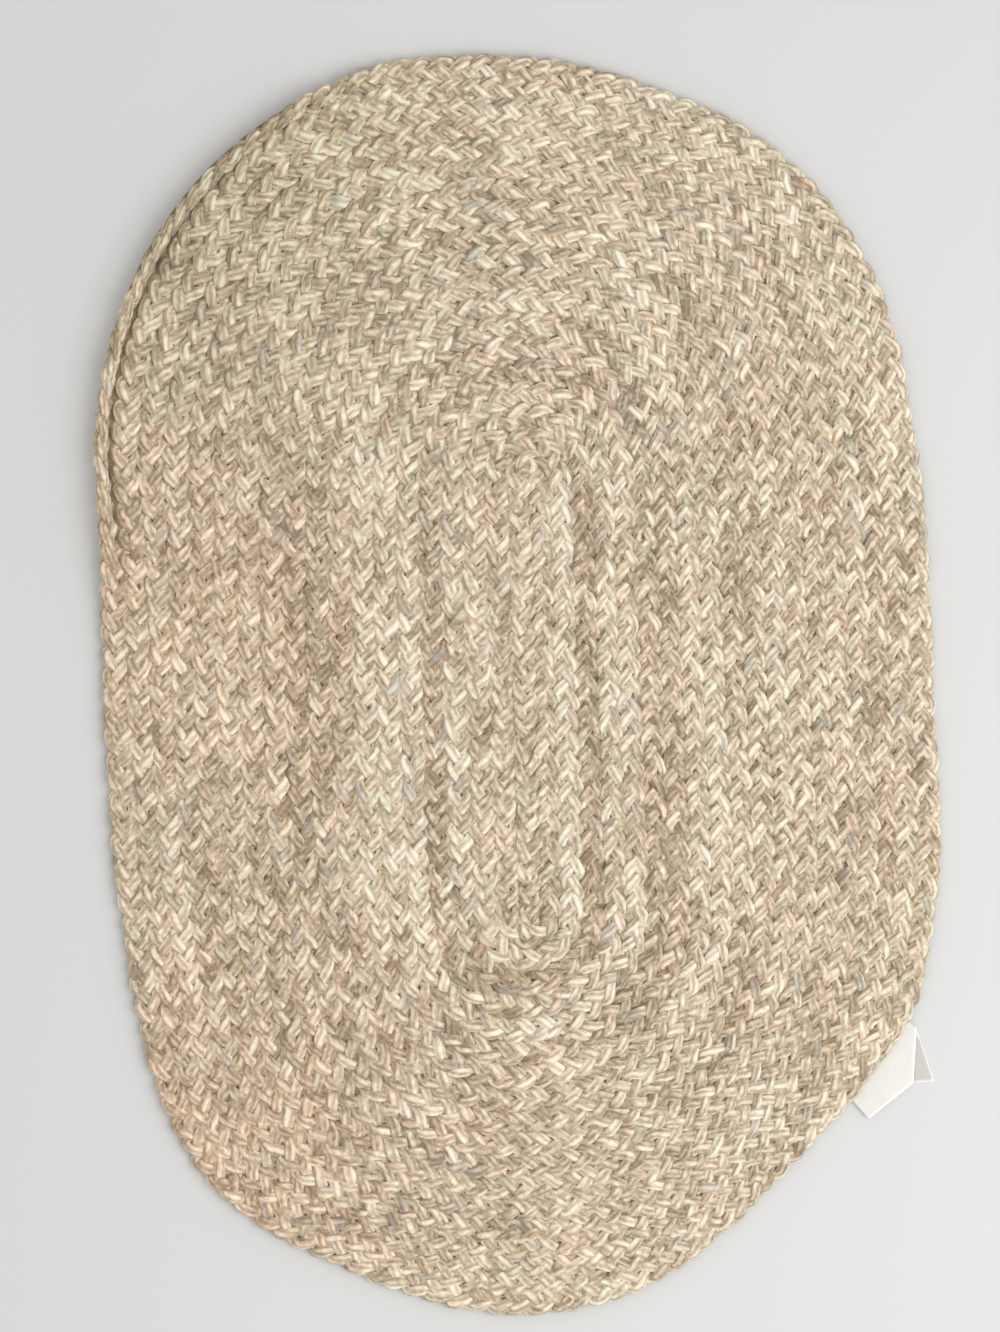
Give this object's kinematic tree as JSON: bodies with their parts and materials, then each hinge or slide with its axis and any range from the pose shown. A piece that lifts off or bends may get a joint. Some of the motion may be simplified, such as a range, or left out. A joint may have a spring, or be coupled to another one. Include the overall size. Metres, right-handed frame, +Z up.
{
  "type": "braided rug",
  "caption": "Small oval braided rug: one plait coiled round a straight middle pass and sewn edge to edge, flat underneath, with a folded blank label at its rim.",
  "frame": {"origin": "on the surface that the rug lies on, at the middle of its outline's bounding box", "axes": "+Z up, +Y along the rug's length, away from the label's end, +X across it, towards the label's side"},
  "size_m": [0.4226, 0.6284, 0.0096],
  "materials": {
    "plaited_yarn": "soft matte heather yarn in cream, tan, rose-beige and grey-olive, plaited in three strands",
    "label_cloth": "thin white woven satin, blank"
  },
  "bodies": {
    "root": {"rug_body": "plaited_yarn", "side_label": "label_cloth"}
  },
  "joints": []
}
